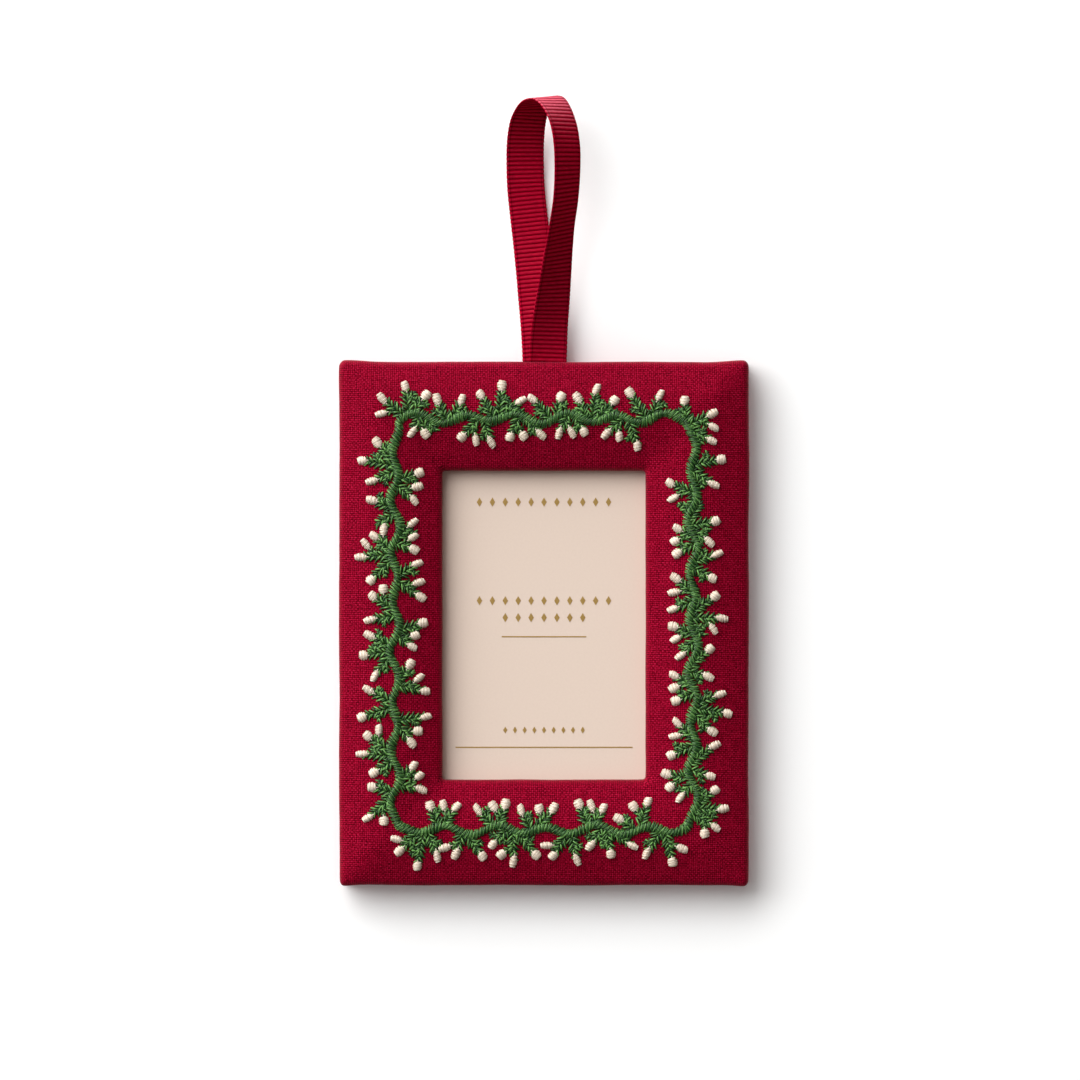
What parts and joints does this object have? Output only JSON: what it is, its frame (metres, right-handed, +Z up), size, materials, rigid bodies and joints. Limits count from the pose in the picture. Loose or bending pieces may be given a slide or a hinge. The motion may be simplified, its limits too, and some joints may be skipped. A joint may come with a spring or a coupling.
{
  "type": "picture frame ornament",
  "caption": "Small hanging picture frame covered in crimson linen, with an embroidered berry vine around its window and a red ribbon loop.",
  "frame": {"origin": "middle of the frame's bottom, in the middle of its depth", "axes": "+Z up as it hangs, -Y out of the picture's front, +X to the viewer's right"},
  "size_m": [0.0974, 0.0226, 0.1878],
  "materials": {
    "greyboard": "matte",
    "crimson_linen": "matte",
    "green_thread": "satin",
    "dark_green_thread": "satin",
    "cream_thread": "satin",
    "blush_paper": "matte",
    "gold_foil": "satin",
    "red_grosgrain": "satin"
  },
  "bodies": {
    "root": {"front_board": "greyboard", "front_cover": "crimson_linen", "vine_stem": "green_thread", "vine_leaves": "dark_green_thread", "vine_berries": "cream_thread", "spacer": "greyboard", "insert_card": "blush_paper", "card_foil": "gold_foil", "back_board": "greyboard", "back_cover": "crimson_linen", "hanging_ribbon": "red_grosgrain"}
  },
  "joints": []
}
